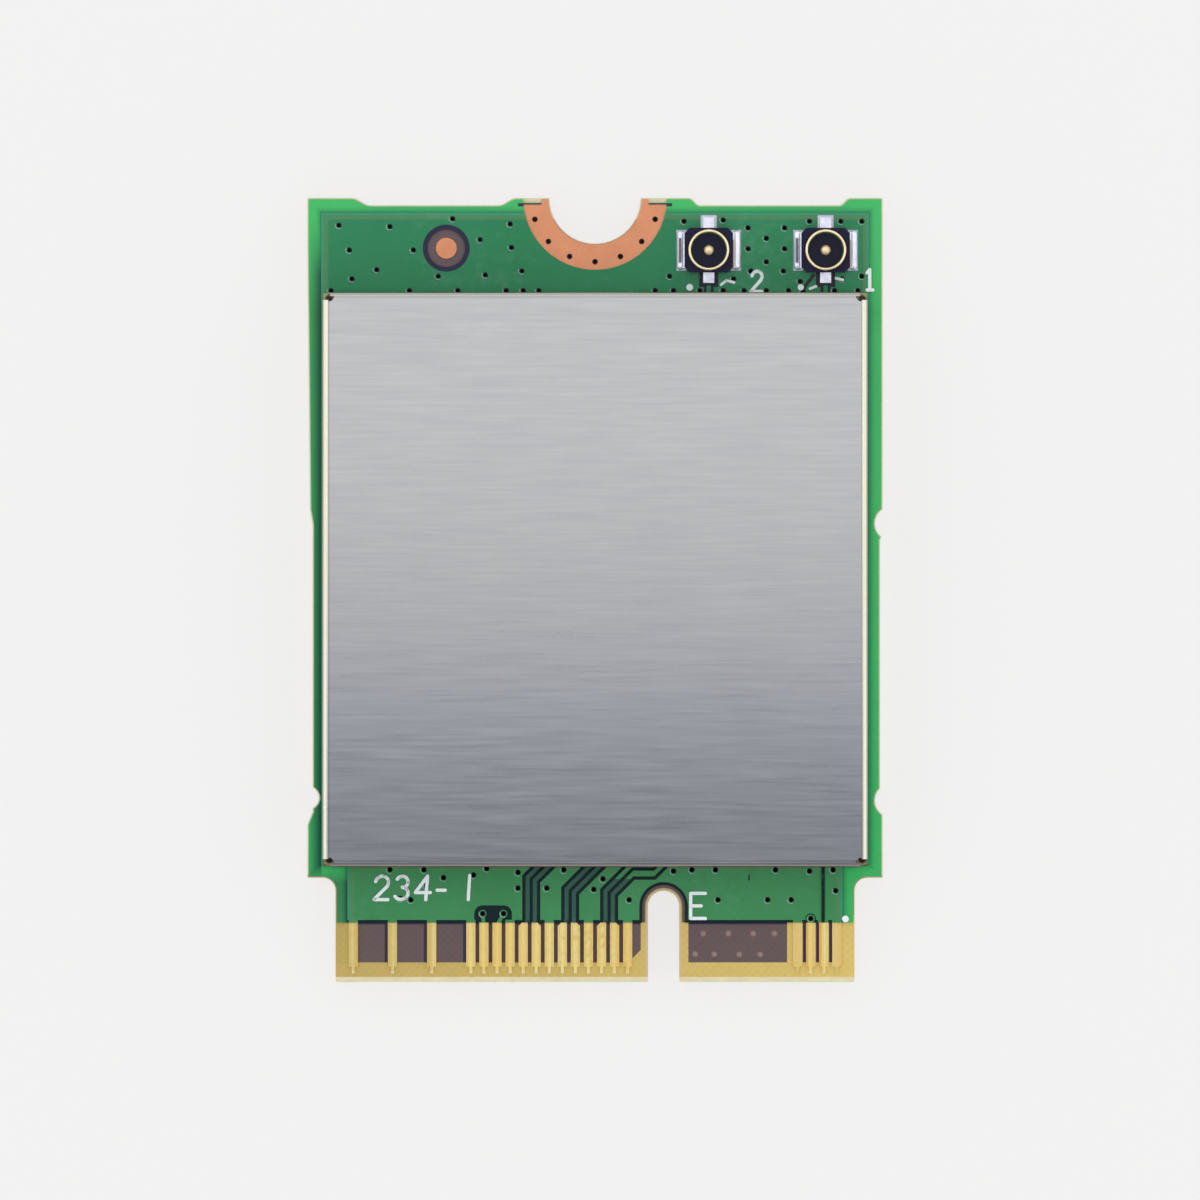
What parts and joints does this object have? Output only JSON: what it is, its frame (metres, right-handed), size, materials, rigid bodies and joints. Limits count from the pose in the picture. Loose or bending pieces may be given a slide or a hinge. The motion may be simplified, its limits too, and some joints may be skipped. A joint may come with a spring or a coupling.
{
  "type": "wireless network card",
  "caption": "Plug-in wireless card: green board with gold edge contacts, key slot and screw notch, a brushed metal shield over its circuits and coaxial antenna jacks.",
  "frame": {"origin": "middle of the card's outline, on the plane that its underside rests on", "axes": "+Y from the contact tongue to the screw notch, +Z out of the component side, +X to the right seen from above with the tongue towards the viewer"},
  "size_m": [0.022, 0.03, 0.0023],
  "materials": {
    "laminate": "bare woven glass and resin board, cream at the cut edges",
    "solder_mask": "green semi-gloss coat",
    "copper": "bare pinkish copper",
    "gold_contacts": "gold-plated copper",
    "shield_metal": "sheet brushed along the card's width",
    "frame_metal": "plain tin-plated sheet",
    "jack_insulator": "black moulded plastic",
    "jack_plating": "thin gold plating",
    "solder": "bright solder",
    "package_black": "moulded package",
    "ceramic_white": "white ceramic with plated ends",
    "ceramic_tan": "tan ceramic with plated ends",
    "ferrite_grey": "pressed grey powder with plated ends",
    "marking_ink": "printed white legend on the mask"
  },
  "bodies": {
    "root": {"circuit_board": "laminate", "copper_layer_top": "copper", "copper_layer_bottom": "copper", "solder_mask_top": "solder_mask", "solder_mask_bottom": "solder_mask", "edge_contacts_top": "gold_contacts", "edge_contacts_bottom": "gold_contacts", "mounting_pad_top": "copper", "mounting_pad_bottom": "copper", "plated_vias": "copper", "fiducial_mark": "copper", "shield_frame": "frame_metal", "shield_lid": "shield_metal", "antenna_jack_1_base": "jack_insulator", "antenna_jack_1_shell": "jack_plating", "antenna_jack_1_pin": "jack_plating", "antenna_jack_2_base": "jack_insulator", "antenna_jack_2_shell": "jack_plating", "antenna_jack_2_pin": "jack_plating", "jack_solder": "solder", "wireless_chip": "package_black", "front_end_modules": "package_black", "antenna_filters": "ceramic_white", "reference_crystal": "ceramic_white", "voltage_regulator": "package_black", "power_inductors": "ferrite_grey", "matching_inductors": "ceramic_white", "ceramic_capacitors": "ceramic_tan", "chip_resistors": "package_black"}
  },
  "joints": []
}
